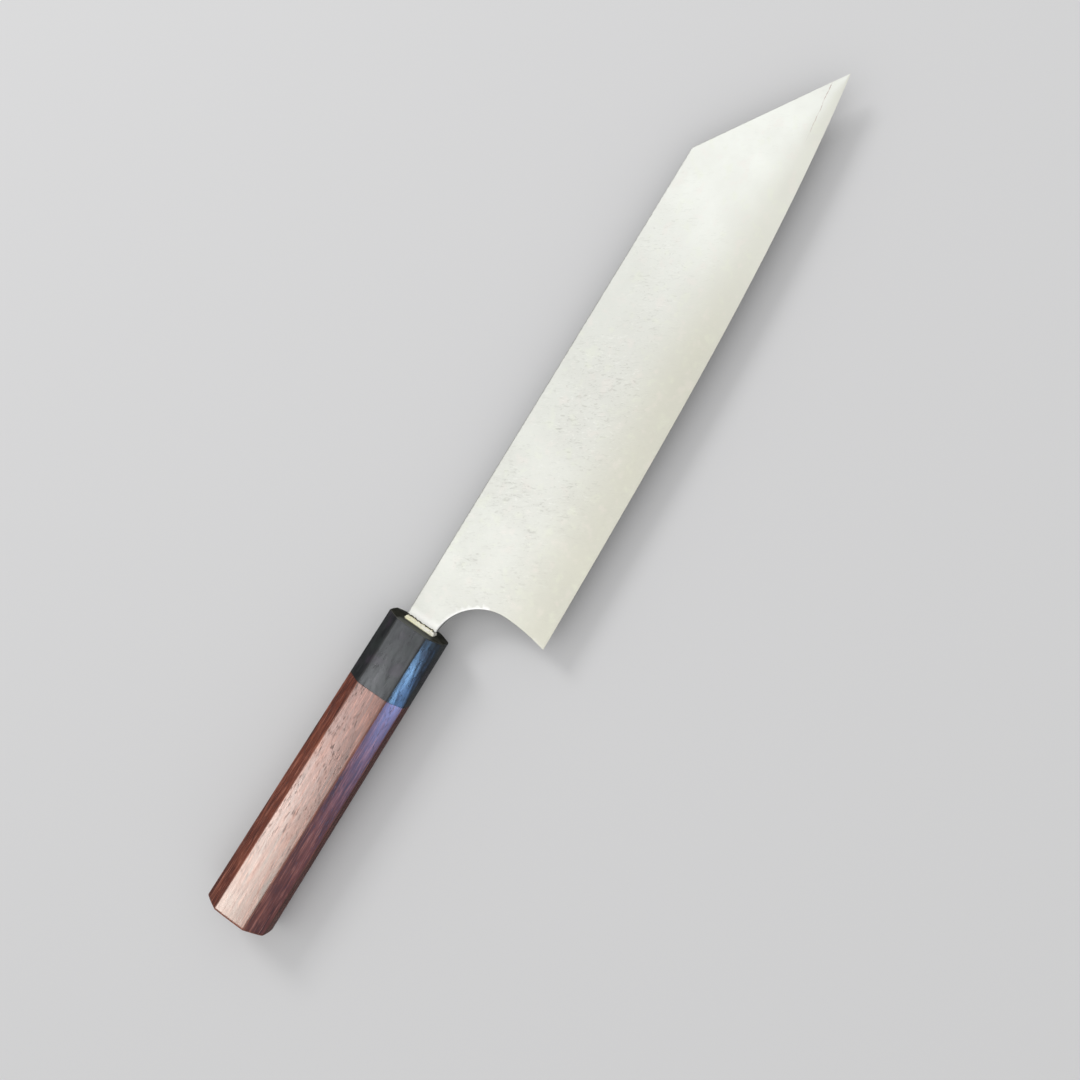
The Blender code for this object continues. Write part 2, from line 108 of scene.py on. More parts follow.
COARSE_DIPS = (900, 300, 3.1)  # its scales along Y and Z per metre, and a slice of the noise
FINE_DIPS = (3000, 900, 7.7)
MATT_SHARE = 0.6  # how much of the ferrule's front rounding is matt like its front face
FERRULE_START = 2  # how far behind its front its straight sections begin, in chamfers
GRIP_END = 1.3  # how far before the butt the grip's straight sections end, in chamfers
BLADE_SHARP_ANGLE = 35  # degrees from which an edge between two faces is shaded sharp
SEAL_SHARP_ANGLE = 50
HANDLE_SHARP_ANGLE = 25

# How finely curves are divided
SPINE_STEPS = 90
CORNER_STEPS = 12
CLIP_STEPS = 28
EDGE_STEPS = 130
CHOIL_STEPS = 40
HEEL_STEPS = 16
RIM_STEPS = 4
FACE_STEP = 0.0016  # spacing of the points inside the blade's faces
FACE_MARGIN = 0.0008  # their least distance from the rim
RIM_INSET = 1.5  # where the faces begin inside the rim, in radii of its rounding
ROUND_STEPS = 5
SEAL_STEPS = 44
BORE_SIDES = 64
FERRULE_SECTIONS = 9
GRIP_SECTIONS = 32
HALVINGS = 50
FACET_SHARES = (0.03, 0.12, 0.25, 0.38, 0.5, 0.62, 0.75, 0.88, 0.97)

# Tolerances
NUDGE = 1e-6  # keeps a column of points or a limit clear of an outline's own points
LEAST_HEIGHT = 1e-5  # stands in for the blade's height at the very tip
MERGE_DISTANCE = 1e-7
TRIANGLE_TOLERANCE = 1e-9

# Modes and sockets
RIGHT = 1  # the blade's face that lies on top
LEFT = -1
INSIDE_OUTLINE = 1  # delaunay_2d_cdt keeps the triangles inside the outline alone
COLOR_MIX_INPUTS = (0, 6, 7)  # share, first and second colour of a Mix node
COLOR_MIX_OUTPUT = 2
NUMBER_MIX_INPUTS = (0, 2, 3)  # share, first and second number of a Mix node

# Floor, world and camera
FLOOR_RADIUS = 8.0
FLOOR_SIDES = 128
FLOOR_ROUGHNESS = 0.85
FLOOR_COLOR = (0.66, 0.66, 0.665)
FLOOR_COLOR_IN_GLOSS = (0.15, 0.15, 0.15)  # what the knife reflects of it
DOME_AT_HORIZON = 0.31
DOME_OVERHEAD = 1.06
DOME_SEEN_BY_CAMERA = 0.56
CAMERA_PLACE = (0.07660, -0.10638, 0.55282)
CAMERA_BACK = (0.14673, -0.18100, 0.97248)  # the direction opposite to the camera's view
CAMERA_UP = (0.83543, 0.54907, -0.02385)
CAMERA_LENS = 55.673
CAMERA_SENSOR = 36.0

# Lamps: the place, the point that the lamp faces, its width and height, its brightness and its colour
WHITE = (1.0, 1.0, 1.0)
ORIGIN = (0.0, 0.0, 0.0)
BLADE_HEEL = (-0.03, 0.0, 0.01)
UNDER_HANDLE = (-0.10, 0.0, 0.0)
FERRULE_TOP = (-0.08, 0.01, 0.02)
FERRULE_SIDE = (-0.08, 0.0, 0.01)
GRIP_TOP = (-0.13, 0.01, 0.02)
GRIP_SIDE = (-0.12, 0.0, 0.01)
KEY_PLACE = (0.45, 1.08, 0.93)
KEY_SIZE = (0.42, 0.42)
KEY_LEVEL = 11.0
OVERHEAD_SIZE = (0.60, 0.50)
STEEL_LAMPS = {
    "weak_key": (KEY_PLACE, ORIGIN, KEY_SIZE, 4.4, WHITE),
    "overhead": ((-0.42, 0.24, 1.25), UNDER_HANDLE, OVERHEAD_SIZE, 1.2, WHITE),
    "rim": ((-0.82, -0.50, 0.72), BLADE_HEEL, (0.35, 0.35), 2.6, WHITE),
}
GRIP_LAMPS = {
    "sheen": ((-0.71, 0.36, 1.10), GRIP_TOP, (0.34, 0.40), 23.0, (1.0, 0.96, 0.86)),
    "blush": ((-0.47, 0.35, 1.12), GRIP_TOP, (0.20, 0.34), 13.2, (1.0, 0.66, 0.62)),
    "violet": ((-0.170, -0.46, 0.120), FERRULE_SIDE, (0.050, 0.100), 69.0, (0.28, 0.46, 1.0)),
    "dusk": ((-0.33, -0.46, 0.11), GRIP_SIDE, (0.20, 0.20), 0.25, (1.0, 0.60, 0.90)),
}
FERRULE_LAMPS = {
    "sky": ((-0.38, 0.26, 1.25), UNDER_HANDLE, OVERHEAD_SIZE, 1.4, (0.89, 0.94, 1.0)),
    "haze": ((-0.51, 0.30, 1.12), FERRULE_TOP, (0.22, 0.28), 6.2, (0.94, 0.96, 1.0)),
    "cool": ((-0.231, -0.46, 0.094), FERRULE_SIDE, (0.062, 0.104), 17.0, (0.21, 0.47, 1.0)),
    "glint": ((-0.191, -0.46, 0.165), FERRULE_SIDE, (0.026, 0.056), 33.0, (0.30, 0.58, 1.0)),
}

# Values that follow from the ones above
CORE_HALF = CORE_THICKNESS / 2
STOCK_HALF = STOCK_THICKNESS / 2
TIP_Y = -HEEL_HEIGHT + EDGE_TILT + BELLY_RISE
CORNER_X = EDGE_LENGTH - CLIP_LENGTH
SHOULDER_X = -NECK_LENGTH
SEAL_FRONT_X = SHOULDER_X - SEAL_GAP
FERRULE_FRONT_X = SEAL_FRONT_X - SEAL_PROUD
SEAL_BACK_X = FERRULE_FRONT_X - SEAL_DEPTH
JOINT_X = FERRULE_FRONT_X - FERRULE_LENGTH
BUTT_X = JOINT_X - BODY_LENGTH
TANG_END_X = SHOULDER_X - TANG_LENGTH
DOWEL_BACK_X = TANG_END_X + TANG_PAST_DOWEL
BEDDING_BACK_X = TANG_END_X - BEDDING_END
TANG_Y = -NECK_HEIGHT / 2
AXIS_Y = TANG_Y + HANDLE_RISE
TANG_HALF_HEIGHT = NECK_HEIGHT / 2 - SHOULDER_STEP
SLOT_HALF_HEIGHT = TANG_HALF_HEIGHT + TANG_CLEARANCE + BEDDING_WALL
SLOT_HALF_WIDTH = STOCK_HALF + BEDDING_WALL
SEAL_HALF_WIDTH = STOCK_HALF + SEAL_WALL
DOWEL_RADIUS = math.hypot(SLOT_HALF_HEIGHT + HANDLE_RISE, SLOT_HALF_WIDTH) + DOWEL_WALL
BORE_RADIUS = DOWEL_RADIUS + DOWEL_CLEARANCE
HIGHEST_Y = max(CORNER_RISE, AXIS_Y + BUTT_HEIGHT / 2)
PLACE = Vector((-(EDGE_LENGTH + BUTT_X) / 2, -(HIGHEST_Y - HEEL_HEIGHT) / 2, BUTT_WIDTH / 2))


# Shader nodes


class Nodes:
    """Short calls that add linked nodes to one material."""

    def __init__(self, name, roughness, metallic=0.0, ior=1.5):
        self.material = bpy.data.materials.new(name)
        self.material.use_nodes = True
        self.tree = self.material.node_tree
        self.shader = self.tree.nodes["Principled BSDF"]
        self.shader.inputs["Metallic"].default_value = metallic
        self.shader.inputs["Roughness"].default_value = roughness
        self.shader.inputs["IOR"].default_value = ior
        self.place = self.add("ShaderNodeTexCoord").outputs["Object"]

    def add(self, kind, inputs=None, **settings):
        node = self.tree.nodes.new(kind)
        for key, value in settings.items():
            setattr(node, key, value)
        for key, value in (inputs or {}).items():
            if isinstance(value, bpy.types.NodeSocket):
                self.tree.links.new(value, node.inputs[key])
            else:
                node.inputs[key].default_value = value
        return node

    def math(self, operation, one, two=0.0):
        return self.add("ShaderNodeMath", {0: one, 1: two}, operation=operation).outputs[0]

    def times(self, one, two):
        return self.math("MULTIPLY", one, two)

    def inverse(self, share):
        return self.math("SUBTRACT", 1.0, share)

    def distance(self, value, center):
        return self.math("ABSOLUTE", self.math("SUBTRACT", value, center))

    def jitter(self, value, clouds, size):
        """The value moved to and fro by a noise, over a range of that size."""
        return self.math("ADD", value, self.times(self.math("SUBTRACT", clouds, 0.5), size))

    def attribute(self, name):
        return self.add("ShaderNodeAttribute", attribute_name=name).outputs["Fac"]

    def axes(self):
        """X, Y and Z of the point in the CAD frame."""
        return self.add("ShaderNodeSeparateXYZ", {0: self.place}).outputs

    def grain(self, degrees, scale):
        """Coordinates turned about Z, so that X runs at that angle, then scaled for each axis."""
        rotation = (0, 0, -math.radians(degrees))
        turned = self.add("ShaderNodeMapping", {"Vector": self.place, "Rotation": rotation}).outputs[0]
        return self.add("ShaderNodeMapping", {"Vector": turned, "Scale": scale}).outputs[0]

    def noise(self, vector, scale=1.0, detail=2.0, roughness=0.5, distortion=0.0):
        inputs = {"Vector": vector, "Scale": scale, "Detail": detail, "Roughness": roughness}
        inputs["Distortion"] = distortion
        return self.add("ShaderNodeTexNoise", inputs).outputs["Fac"]

    def fit(self, value, low, high, to_low=0.0, to_high=1.0):
        """Maps low..high to to_low..to_high along a soft S, and holds it beyond them."""
        inputs = {"Value": value, "From Min": low, "From Max": high, "To Min": to_low, "To Max": to_high}
        return self.add("ShaderNodeMapRange", inputs, interpolation_type="SMOOTHSTEP").outputs[0]

    def mix(self, share, one, two):
        """A colour between two. A colour is a socket or three numbers."""
        node = self.add("ShaderNodeMix", data_type="RGBA")
        for index, value in zip(COLOR_MIX_INPUTS, (share, one, two)):
            if isinstance(value, bpy.types.NodeSocket):
                self.tree.links.new(value, node.inputs[index])
            else:
                node.inputs[index].default_value = (*value, 1.0)
        return node.outputs[COLOR_MIX_OUTPUT]

    def paint(self, color, *coats):
        """Lays coats over a colour, each of them a share and a colour."""
        for share, coat in coats:
            color = self.mix(share, color, coat)
        return color

    def bump(self, height, distance, strength=1.0, under=None):
        inputs = {"Height": height, "Distance": distance, "Strength": strength}
        if under is not None:
            inputs["Normal"] = under
        return self.add("ShaderNodeBump", inputs).outputs[0]

    def finish(self, color, roughness, normal):
        for key, value in (("Base Color", color), ("Roughness", roughness), ("Normal", normal)):
            self.tree.links.new(value, self.shader.inputs[key])
        return self.material


# Materials. Noise scales are per metre, places are in the CAD frame, and colours are linear.
# The attribute "across" is the share of the blade's height, from 0 at the edge to 1 at the spine.


def steel_marks(n, x, across):
    """Shares of the dark and the light marks from the finishing, which gather in the middle of the blade."""
    slant = -57
    densest = 0.64
    towards_tip = (0.085, 0.135)
    from_neck = (-0.044, -0.016)
    dashes = n.noise(n.grain(slant, (400, 1250, 900)), 1, 2, 0.55, 1.5)
    pits = n.fit(n.noise(n.place, 1100, 1, 0.5), 0.73, 0.80)
    groups = n.fit(n.noise(n.place, 60, 2, 0.6), 0.32, 0.62, 0.25, 0.90)
    middle = n.fit(n.distance(across, densest), 0.14, 0.50, 1.0, 0.2)
    middle = n.times(middle, n.fit(x, *towards_tip, 1.0, 0.25))
    middle = n.times(middle, n.fit(x, *from_neck, 0.4, 1.0))
    gathered = n.times(groups, middle)
    dark = n.times(n.math("MAXIMUM", n.fit(dashes, 0.575, 0.665), pits), gathered)
    light = n.times(n.fit(dashes, 0.40, 0.31), gathered)
    return dark, light


def core_line(n, x):
    """Share of the broken fine line near the tip, where the outer layers end."""
    line_height = 0.00018
    line_width = (0.00004, 0.00016)
    towards_tip = (0.148, 0.160)
    wander = 0.0008
    from_line = n.jitter(n.attribute("above_edge"), n.noise(n.place, 420, 2, 0.5), wander)
    line = n.fit(n.distance(from_line, line_height), *line_width, 1.0, 0.0)
    line = n.times(line, n.fit(x, *towards_tip))
    return n.times(line, n.fit(n.noise(n.place, 1300, 1, 0.5), 0.36, 0.58, 0.15, 0.65))


def steel_material(name, bare):
    """Blasted, satin-finished steel with sparse short marks from the finishing. Its colour holds painted
    shade, darker and warmer towards the edge, and painted highlights towards the tip, on the neck and on the
    polished rim.
    """
    # painted shade: the steel is coloured darker and warmer towards the edge
    shaded_near_edge = (0.612, 0.605, 0.520)
    upper_half = (0.696, 0.702, 0.656)
    near_spine = (0.692, 0.702, 0.656)
    # painted highlight: lighter colour towards the tip and the clip
    near_tip_highlight = (0.920, 0.940, 0.890)
    # painted highlight: a near-white neck, making up for the shade that the ferrule casts on it
    neck = (0.985, 0.985, 0.955)
    cloud = (0.680, 0.672, 0.625)
    green_tint = (0.80, 0.84, 0.66)
    pink_tint = (0.86, 0.76, 0.72)
    dark_mark = (0.36, 0.35, 0.31)
    light_mark = (0.92, 0.92, 0.88)
    # polished rim, coloured very light: partly real polish, partly a painted highlight
    polished_rim_highlight = (0.97, 0.975, 0.955)
    nick = (0.34, 0.34, 0.32)
    stained_line = (0.36, 0.22, 0.18)
    # a ragged dark brown line painted on the steel in the gap just in front of the filler
    ragged_dark_line = (0.055, 0.044, 0.028)
    filler = (0.84, 0.80, 0.62)
    towards_tip = (0.060, 0.140)
    onto_neck = (-0.0470, -0.0508)
    filler_front = SEAL_FRONT_X + PLACE.x
    dark_line_edge = (filler_front + 0.00044, filler_front + 0.00052)
    filler_edge = (filler_front + 0.00005, filler_front + 0.00012)
    raggedness = 0.0017
    n = Nodes(name, 0.46, metallic=1.0)
    across = n.attribute("across")
    x, _, _ = n.axes()
    dark_marks, light_marks = steel_marks(n, x, across)
    clouds = n.noise(n.place, 70, 3, 0.6)
    tints = n.noise(n.place, 190, 2, 0.6)
    nicks = n.fit(n.noise(n.place, 800, 2, 0.6), 0.35, 0.65, 0.15, 0.45)
    color = n.paint(
        # painted shade: darker and warmer towards the edge
        n.mix(n.fit(across, 0.06, 0.62), shaded_near_edge, upper_half),
        (n.fit(across, 0.66, 0.90), near_spine),
        # painted highlight towards the tip
        (n.times(n.fit(x, *towards_tip, 0.0, 0.82), n.fit(across, 0.05, 0.55, 0.52, 1.0)), near_tip_highlight),
        # painted highlight on the neck, making up for the ferrule's shade there
        (n.fit(x, *onto_neck), neck),
        (n.fit(clouds, 0.3, 0.7, 0.0, 0.22), cloud),
        (n.fit(tints, 0.54, 0.72, 0.0, 0.16), green_tint),
        (n.fit(tints, 0.46, 0.28, 0.0, 0.16), pink_tint),
        (n.times(dark_marks, 0.19), dark_mark),
        (n.times(light_marks, 0.30), light_mark),
        # painted highlight on the polished rim
        (n.times(n.attribute("rim"), n.fit(across, 0.03, 0.30, 0.1, 0.9)), polished_rim_highlight),
        (n.times(n.fit(across, 0.9865, 0.9925), nicks), nick),
    )
    if not bare:
        color = n.paint(color, (core_line(n, x), stained_line))
    ragged_x = n.jitter(x, n.noise(n.place, 700, 3, 0.65), raggedness)
    # the ragged dark brown line in front of the filler
    color = n.paint(color, (n.fit(ragged_x, *dark_line_edge, 1.0, 0.0), ragged_dark_line))
    color = n.paint(color, (n.fit(ragged_x, *filler_edge, 1.0, 0.0), filler))
    roughness = n.fit(clouds, 0.3, 0.7, 0.44, 0.49)
    roughness = n.math("ADD", roughness, n.times(dark_marks, 0.15))
    normal = n.bump(n.noise(n.place, 38, 2, 0.5), 0.00004)
    normal = n.bump(n.noise(n.place, 3000, 2, 0.6), 0.000007, 0.8, normal)
    normal = n.bump(n.inverse(dark_marks), 0.000014, 0.8, normal)
    return n.finish(color, roughness, normal)


def seal_material():
    """Cream filler: matt, a little mottled, with fine bubbles."""
    lower_end = (0.95, 0.93, 0.84)
    upper_end = (0.92, 0.89, 0.66)
    cloud = (0.74, 0.68, 0.47)
    bubble = (0.34, 0.28, 0.17)
    upwards = (0.010, 0.018)
    n = Nodes("cream_filler_look", 0.5)
    clouds = n.noise(n.place, 500, 3, 0.6)
    bubbles = n.fit(n.noise(n.place, 2600, 1, 0.4), 0.66, 0.74)
    _, y, _ = n.axes()
    color = n.paint(
        n.mix(n.fit(y, *upwards), lower_end, upper_end),
        (n.fit(clouds, 0.40, 0.80, 0.0, 0.4), cloud),
        (n.times(bubbles, 0.6), bubble),
    )
    roughness = n.fit(clouds, 0.3, 0.7, 0.42, 0.62)
    normal = n.bump(clouds, 0.00010, 0.6)
    normal = n.bump(n.inverse(bubbles), 0.00006, 0.8, normal)
    return n.finish(color, roughness, normal)


def horn_material():
    """Polished dark horn with faint lengthwise streaks and soft tints."""
    dark = (0.0060, 0.0068, 0.0078)
    light_streak = (0.0180, 0.0200, 0.0215)
    cloud = (0.030, 0.032, 0.033)
    green_tint = (0.022, 0.029, 0.026)
    red_tint = (0.034, 0.026, 0.036)
    dash = (0.004, 0.004, 0.004)
    # lighter rounded corners: partly wear, partly a painted highlight
    worn_and_highlit_rim = (0.060, 0.060, 0.056)
    slant = 3
    n = Nodes("dark_horn_look", 0.17, ior=1.42)
    streaks = n.noise(n.grain(slant, (110, 640, 640)), 1, 4, 0.62, 0.5)
    dashes = n.noise(n.grain(slant + 2, (330, 1200, 1200)), 1, 1, 0.5, 0.4)
    clouds = n.noise(n.grain(slant, (110, 240, 240)), 1, 3, 0.6)
    tints = n.noise(n.place, 150, 1, 0.5)
    color = n.paint(
        n.mix(n.fit(streaks, 0.36, 0.70), dark, light_streak),
        (n.fit(clouds, 0.42, 0.70, 0.0, 0.7), cloud),
        (n.fit(tints, 0.55, 0.70, 0.0, 0.4), green_tint),
        (n.fit(tints, 0.48, 0.30, 0.0, 0.7), red_tint),
        (n.fit(dashes, 0.62, 0.72, 0.0, 0.7), dash),
        # partly wear, partly painted highlight on the corners
        (n.times(n.attribute("rim"), 0.25), worn_and_highlit_rim),
    )
    roughness = n.fit(streaks, 0.35, 0.7, 0.12, 0.21)
    roughness = n.math("ADD", roughness, n.fit(dashes, 0.62, 0.72, 0.0, 0.12))
    normal = n.bump(n.noise(n.grain(slant - 1, (70, 250, 250)), 1, 1, 0.5, 0.6), 0.00010)
    normal = n.bump(streaks, 0.000006, 0.7, normal)
    normal = n.bump(dashes, 0.000009, 0.6, normal)
    return n.finish(color, roughness, normal)


def horn_end_material():
    """The ferrule's front face: matt, olive-brown, with painted light that lightens a band above the slot,
    and filler smeared at the slot.
    """
    dark = (0.018, 0.018, 0.013)
    olive = (0.036, 0.035, 0.026)
    speck = (0.070, 0.068, 0.055)
    # painted light: a lighter band on the front face above the slot
    painted_light_band = (0.112, 0.116, 0.106)
    filler = (0.62, 0.60, 0.45)
    # lighter front rounding: partly wear, partly a painted highlight
    worn_and_highlit_rim = (0.105, 0.103, 0.090)
    middle_y = 0.0135
    raggedness = 0.0012
    lit_band_half = (0.0060, 0.0074)
    lit_band_from_z = (0.0132, 0.0175)
    smeared_half = (0.0052, 0.0060)
    smeared_from_z = (0.0100, 0.0112)
    smeared_to_z = (0.0127, 0.0136)
    n = Nodes("horn_end_look", 0.7, ior=1.3)
    n.shader.inputs["Specular IOR Level"].default_value = 0.15
    specks = n.noise(n.place, 1600, 3, 0.6)
    clouds = n.noise(n.place, 320, 3, 0.6)
    _, y, z = n.axes()
    from_middle = n.distance(y, middle_y)
    ragged_z = n.jitter(z, clouds, raggedness)
    # where the painted light lies on the front face
    lit_band = n.fit(from_middle, *lit_band_half, 1.0, 0.0)
    lit_band = n.times(lit_band, n.fit(ragged_z, *lit_band_from_z, 0.15, 1.0))
    smeared = n.times(n.fit(from_middle, *smeared_half, 1.0, 0.0), n.fit(ragged_z, *smeared_from_z))
    smeared = n.times(smeared, n.fit(ragged_z, *smeared_to_z, 1.0, 0.0))
    color = n.paint(
        n.mix(n.fit(clouds, 0.3, 0.7), dark, olive),
        (n.fit(specks, 0.55, 0.72, 0.0, 0.5), speck),
        # painted light above the slot
        (lit_band, painted_light_band),
        (n.times(smeared, 0.9), filler),
        # partly wear, partly painted highlight on the front rounding
        (n.times(n.attribute("rim"), 0.5), worn_and_highlit_rim),
    )
    roughness = n.fit(specks, 0.3, 0.7, 0.62, 0.80)
    return n.finish(color, roughness, n.bump(specks, 0.00003, 0.7))


def rosewood_pores(n, x, slant):
    """Share of the open pores: short ones in groups and a few long ones, sparse towards the butt."""
    from_butt = (-0.172, -0.115)
    groups = n.fit(n.noise(n.grain(slant, (110, 330, 330)), 1, 2, 0.6), 0.38, 0.60, 0.1, 1.0)
    short = n.noise(n.grain(slant + 2, (400, 2600, 2600)), 1, 1, 0.5, 0.2)
    long = n.noise(n.grain(slant, (260, 1700, 1700)), 1, 1, 0.5, 0.2)
    pores = n.times(n.fit(short, 0.585, 0.685), groups)
    pores = n.math("MAXIMUM", pores, n.fit(long, 0.66, 0.75, 0.0, 0.6))
    return n.times(pores, n.fit(x, *from_butt, 0.2, 1.0))


def rosewood_material():
    """Polished rosewood: darker and lighter streaks along the grain, fine fibres and short open pores."""
    light_band = (0.093, 0.0225, 0.0120)
    dark_band = (0.052, 0.0120, 0.0076)
    darkest_band = (0.032, 0.008, 0.006)
    cloud = (0.132, 0.035, 0.017)
    dark_streak = (0.020, 0.005, 0.005)
    light_streak = (0.220, 0.064, 0.030)
    light_fibre = (0.280, 0.118, 0.082)
    dark_fibre = (0.030, 0.008, 0.006)
    pore = (0.022, 0.007, 0.006)
    # lighter, orange-brown corners: partly wear, partly a painted highlight
    worn_and_highlit_rim = (0.300, 0.140, 0.090)
    slant = 2
    n = Nodes("rosewood_look", 0.26)
    x, _, _ = n.axes()
    bands = n.noise(n.grain(slant, (12, 230, 200)), 1, 4, 0.62, 0.7)
    streaks = n.noise(n.grain(slant + 1, (42, 720, 720)), 1, 2, 0.6, 0.6)
    fibres = n.noise(n.grain(slant, (100, 2200, 2200)), 1, 3, 0.6, 0.3)
    clouds = n.noise(n.place, 55, 3, 0.6)
    pores = rosewood_pores(n, x, slant)
    color = n.paint(
        n.mix(n.fit(bands, 0.34, 0.66), light_band, dark_band),
        (n.fit(bands, 0.60, 0.74, 0.0, 0.6), darkest_band),
        (n.fit(clouds, 0.35, 0.72, 0.0, 0.4), cloud),
        (n.fit(streaks, 0.48, 0.30, 0.0, 0.80), dark_streak),
        (n.fit(streaks, 0.55, 0.74, 0.0, 0.55), light_streak),
        (n.fit(fibres, 0.52, 0.70, 0.0, 0.75), light_fibre),
        (n.fit(fibres, 0.50, 0.32, 0.0, 0.75), dark_fibre),
        (n.times(pores, 0.8), pore),
        # partly wear, partly painted highlight on the corners
        (n.times(n.attribute("rim"), 0.18), worn_and_highlit_rim),
    )
    roughness = n.fit(streaks, 0.35, 0.7, 0.24, 0.29)
    roughness = n.math("ADD", roughness, n.times(pores, 0.20))
    normal = n.bump(n.noise(n.grain(0, (35, 130, 130)), 1, 2, 0.5), 0.00003)
    normal = n.bump(streaks, 0.000004, 0.6, normal)
    normal = n.bump(n.inverse(pores), 0.000015, 0.8, normal)
    return n.finish(color, roughness, normal)


def dowel_material():
    """Pale straight-grained wood."""
    light_band = (0.66, 0.53, 0.35)
    dark_band = (0.50, 0.37, 0.21)
    fibre = (0.40, 0.28, 0.15)
    n = Nodes("pale_dowel_wood_look", 0.7)
    bands = n.noise(n.grain(0, (12, 420, 420)), 1, 4, 0.6, 0.5)
    fibres = n.noise(n.grain(0, (120, 2800, 2800)), 1, 2, 0.6)
    color = n.mix(n.fit(bands, 0.34, 0.68), light_band, dark_band)
    color = n.paint(color, (n.fit(fibres, 0.45, 0.75, 0.0, 0.4), fibre))
    roughness = n.fit(fibres, 0.3, 0.7, 0.62, 0.78)
    return n.finish(color, roughness, n.bump(fibres, 0.00005, 0.8))


def bedding_material():
    """Amber resin with darker wisps."""
    amber = (0.55, 0.42, 0.22)
    dark_wisp = (0.36, 0.24, 0.10)
    bubble = (0.70, 0.62, 0.44)
    n = Nodes("amber_bedding_look", 0.3)
    wisps = n.noise(n.place, 260, 4, 0.6, 1.2)
    bubbles = n.fit(n.noise(n.place, 1900, 1, 0.5), 0.66, 0.74)
    color = n.mix(n.fit(wisps, 0.3, 0.7), amber, dark_wisp)
    color = n.paint(color, (n.times(bubbles, 0.5), bubble))
    roughness = n.fit(wisps, 0.3, 0.7, 0.25, 0.42)
    return n.finish(color, roughness, n.bump(bubbles, 0.00006, 0.7))


# Objects


def new_object(name, bm, material):
    """An object from a bmesh in the CAD frame, with its faces turned outward and shaded smooth."""
    bm.transform(Matrix.Translation(PLACE))
    bm.normal_update()
    bmesh.ops.recalc_face_normals(bm, faces=bm.faces)
    mesh = bpy.data.meshes.new(name)
    bm.to_mesh(mesh)
    bm.free()
    mesh.materials.append(material)
    mesh.shade_smooth()
    obj = bpy.data.objects.new(name, mesh)
    bpy.context.scene.collection.objects.link(obj)
    return obj


def cut(target, cutter):
    """Cuts one object with another and removes the cutter."""
    modifier = target.modifiers.new("cut", "BOOLEAN")
    modifier.operation = "DIFFERENCE"
    modifier.object = cutter
    graph = bpy.context.evaluated_depsgraph_get()
    mesh = bpy.data.meshes.new_from_object(target.evaluated_get(graph))
    target.modifiers.clear()
    target.data = mesh
    bpy.data.objects.remove(cutter, do_unlink=True)


def dress(piece, node, degrees=None):
    """The piece stands for a CAD node, which it hides, and moves with the knife."""
    if degrees is not None:
        piece.data.set_sharp_from_angle(angle=math.radians(degrees))
    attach(piece, "root")
    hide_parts(node)


# Curves of the blade's outline, as in the CAD model


def smooth_step(value):
    value = min(max(value, 0.0), 1.0)
    return value * value * (3 - 2 * value)


def spine_y(x):
    return CORNER_RISE * (x - SHOULDER_X) / (CORNER_X - SHOULDER_X)


def clip_y(x):
    share = (x - CORNER_X) / CLIP_LENGTH
    return CORNER_RISE + (TIP_Y - CORNER_RISE) * share


def edge_y(x):
    share = min(max(x / EDGE_LENGTH, 0.0), 1.0)
    return -HEEL_HEIGHT + EDGE_TILT * share + BELLY_RISE * share**BELLY_POWER


def halve(low, high, is_below):
    """The value between low and high where is_below turns false."""
    for _ in range(HALVINGS):
        middle = (low + high) / 2
        if is_below(middle):
            low = middle
        else:
            high = middle
    return (low + high) / 2


def spine_points():
    turn = math.atan2(CORNER_RISE - TIP_Y, CLIP_LENGTH) + math.atan(CORNER_RISE / (CORNER_X - SHOULDER_X))
    end = CORNER_X - CORNER_RADIUS * math.tan(turn / 2)
    start = SHOULDER_X + 2 * SPINE_CHAMFER
    xs = [SHOULDER_X] + [start + (end - start) * i / SPINE_STEPS for i in range(SPINE_STEPS + 1)]
    return [(x, spine_y(x)) for x in xs]


def corner_points(start):
    corner = Vector((CORNER_X, CORNER_RISE))
    first = Vector(start) - corner
    second = Vector((CLIP_LENGTH, TIP_Y - CORNER_RISE)).normalized() * first.length
    points = []
    for i in range(1, CORNER_STEPS + 1):
        t = i / CORNER_STEPS
        point = corner + first * (1 - t) ** 2 + second * t**2
        points.append((point.x, point.y))
    return points


def choil_points():
    """From the heel up the back of the blade and round the notch to the neck."""
    center_y = -NECK_HEIGHT - CHOIL_RADIUS
    deepest_x = SHOULDER_X + CHOIL_RADIUS
    middle_y = (center_y - HEEL_HEIGHT) / 2
    points = []
    for i in range(HEEL_STEPS):
        t = i / HEEL_STEPS
        x = (2 * t * (1 - t) + t * t) * deepest_x
        y = (1 - t) ** 2 * -HEEL_HEIGHT + 2 * t * (1 - t) * middle_y + t * t * center_y
        points.append((x, y))
    for i in range(CHOIL_STEPS + 1):
        angle = math.pi / 2 * i / CHOIL_STEPS
        x = SHOULDER_X + CHOIL_RADIUS * math.cos(angle)
        points.append((x, center_y + CHOIL_RADIUS * math.sin(angle)))
    return points


def bare_line_points():
    """The fine line where the outer layers end, from the heel side to the clip."""
    heel_side = choil_points()

    def choil_x(y):
        for (x0, y0), (x1, y1) in zip(heel_side, heel_side[1:]):
            if y0 <= y <= y1:
                return x0 + (x1 - x0) * (y - y0) / (y1 - y0)
        return heel_side[-1][0]

    back_x = choil_x(edge_y(0) + BARE_CORE_HEIGHT)
    back_x = choil_x(edge_y(back_x) + BARE_CORE_HEIGHT)
    front_x = halve(CORNER_X, EDGE_LENGTH, lambda x: edge_y(x) + BARE_CORE_HEIGHT < clip_y(x))
    xs = [back_x + (front_x - back_x) * i / EDGE_STEPS for i in range(EDGE_STEPS + 1)]
    points = [(x, edge_y(x) + BARE_CORE_HEIGHT) for x in xs]
    points[-1] = (front_x, clip_y(front_x))
    return points


